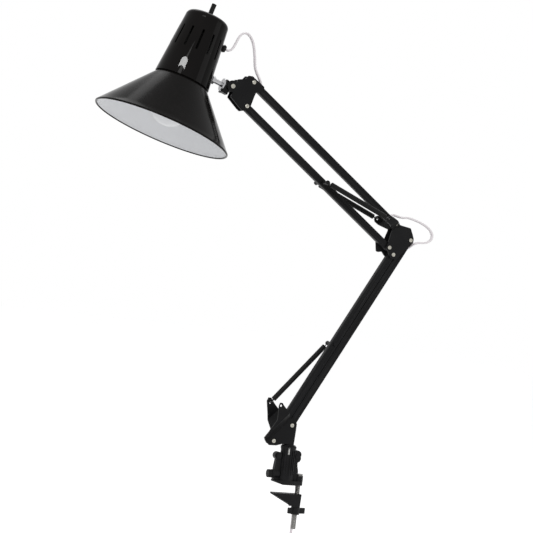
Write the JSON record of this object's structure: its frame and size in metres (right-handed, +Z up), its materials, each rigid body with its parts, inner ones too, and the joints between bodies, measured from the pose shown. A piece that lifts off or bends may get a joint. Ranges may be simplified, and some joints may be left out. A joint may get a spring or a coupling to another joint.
{
  "type": "clamp-on swing-arm desk lamp",
  "caption": "Black swing-arm desk lamp on a screw clamp, with parallel bars balanced by springs, a cone shade that tilts and a flat pale cord looped at each joint.",
  "frame": {"origin": "on the axis of the swivel post, on the underside of the clamp foot, level with the desk top it sits on", "axes": "+Z up; the arms lie in the XZ plane, the desk comes in from -X and the shade is over the desk at -X; +Y is the back of the lamp in the picture"},
  "size_m": [0.4607, 0.17, 0.7679],
  "materials": {
    "black_paint": "semi gloss",
    "black_gloss": "gloss",
    "black_cast": "satin paint",
    "bright_steel": "bright",
    "plated_steel": "plated",
    "brass": "plain",
    "aluminium_cap": "satin",
    "frosted_glass": "frosted",
    "black_plastic": "satin",
    "white_plastic": "satin",
    "grey_cord": "satin"
  },
  "bodies": {
    "clamp": {"clamp_body": "black_cast", "socket_bush": "white_plastic", "clamp_bolt": "bright_steel", "lobe_screws": "black_paint", "lead_hank": "grey_cord", "hank_tie": "black_plastic", "plug_body": "grey_cord", "plug_blades": "brass"},
    "jaw": {"lower_jaw": "black_cast"},
    "nut": {"lever_nut": "black_cast"},
    "knob": {"lock_knob": "black_plastic"},
    "base": {"swivel_post": "black_paint", "base_plate_front": "black_paint", "base_plate_back": "black_paint", "base_block": "black_paint", "base_rivets": "plated_steel", "lead_relief": "black_plastic", "lower_spring_back": "bright_steel", "lower_sleeve_back": "black_plastic", "mains_lead": "grey_cord"},
    "lower_arm": {"lower_bar": "black_paint", "lower_spring_pin": "black_paint"},
    "lower_link": {"lower_link_bar": "black_paint", "flex_in_lower_bar": "grey_cord"},
    "elbow": {"elbow_plate_front": "black_paint", "elbow_plate_back": "black_paint", "elbow_spacer": "black_paint", "elbow_rivets": "plated_steel", "upper_spring_front": "bright_steel", "upper_spring_back": "bright_steel", "upper_sleeve_front": "black_plastic", "upper_sleeve_back": "black_plastic", "cord_loop_elbow": "grey_cord"},
    "upper_arm": {"upper_bar": "black_paint", "upper_spring_pin": "black_paint"},
    "upper_link": {"upper_link_bar": "black_paint", "flex_in_upper_bar": "grey_cord"},
    "head": {"head_plate_front": "black_paint", "head_plate_back": "black_paint", "head_rivets": "plated_steel", "tilt_bolt": "plated_steel", "tilt_nut": "plated_steel", "cord_loop_head": "grey_cord"},
    "shade": {"tilt_knuckle": "black_paint", "shade_stem": "bright_steel", "stem_nut": "bright_steel", "shade_cap": "black_gloss", "shade_cone": "black_gloss", "holder_bracket": "bright_steel", "lampholder": "black_plastic", "holder_shell": "brass", "holder_contact": "brass", "bulb_cap": "aluminium_cap", "bulb_glass": "frosted_glass", "switch_nut": "bright_steel", "cord_grommet": "black_plastic"},
    "switch": {"switch_knob": "black_plastic"}
  },
  "joints": [
    {"name": "jaw_lift", "type": "slide", "parent": "clamp", "child": "jaw", "axis": [0, 0, 1], "range_m": [-0.01, 0.008]},
    {"name": "nut_turn", "type": "hinge", "parent": "jaw", "child": "nut", "pos_m": [0.0184, 0, -0.032], "axis": [0, 0, 1], "range_deg": [-3600, 2880]},
    {"name": "lock_knob_turn", "type": "hinge", "parent": "clamp", "child": "knob", "pos_m": [-0.019, 0, 0.012], "axis": [1, 0, 0], "continuous": true},
    {"name": "base_swivel", "type": "hinge", "parent": "clamp", "child": "base", "pos_m": [0, 0, 0.047], "axis": [0, 0, 1], "range_deg": [-120, 120], "deforming": ["mains_lead"]},
    {"name": "lower_arm_lift", "type": "hinge", "parent": "base", "child": "lower_arm", "pos_m": [-0.0238, 0, 0.0526], "axis": [0, -1, 0], "range_deg": [-0.5, 90], "deforming": ["lower_spring_back", "lower_sleeve_back"]},
    {"name": "lower_link_turn", "type": "hinge", "parent": "base", "child": "lower_link", "pos_m": [-0.0016, 0, 0.07323], "axis": [0, -1, 0], "range_deg": [-0.5, 90]},
    {"name": "elbow_level", "type": "hinge", "parent": "lower_arm", "child": "elbow", "pos_m": [0.11032, 0, 0.29656], "axis": [0, -1, 0], "range_deg": [-90, 0.5], "deforming": ["cord_loop_elbow"]},
    {"name": "upper_arm_lift", "type": "hinge", "parent": "elbow", "child": "upper_arm", "pos_m": [0.10382, 0, 0.30486], "axis": [0, 1, 0], "range_deg": [-50, 30], "deforming": ["upper_spring_front", "upper_spring_back", "upper_sleeve_front", "upper_sleeve_back"]},
    {"name": "upper_link_turn", "type": "hinge", "parent": "elbow", "child": "upper_link", "pos_m": [0.1095, 0, 0.33463], "axis": [0, 1, 0], "range_deg": [-50, 30]},
    {"name": "head_level", "type": "hinge", "parent": "upper_arm", "child": "head", "pos_m": [-0.10861, 0, 0.45251], "axis": [0, 1, 0], "range_deg": [-30, 50]},
    {"name": "shade_tilt", "type": "hinge", "parent": "head", "child": "shade", "pos_m": [-0.12963, 0, 0.47357], "axis": [0, -1, 0], "range_deg": [-60, 28], "deforming": ["cord_loop_head"]},
    {"name": "switch_knob_turn", "type": "hinge", "parent": "shade", "child": "switch", "pos_m": [-0.19134, 0, 0.47519], "axis": [0.2974, 0, 0.9548], "continuous": true}
  ],
  "couplings": [
    {"joint": "nut_turn", "follows": "jaw_lift", "rad_per_m": 6283.2},
    {"joint": "lower_link_turn", "follows": "lower_arm_lift", "ratio": 1},
    {"joint": "elbow_level", "follows": "lower_arm_lift", "ratio": -1},
    {"joint": "upper_link_turn", "follows": "upper_arm_lift", "ratio": 1},
    {"joint": "head_level", "follows": "upper_arm_lift", "ratio": -1}
  ]
}
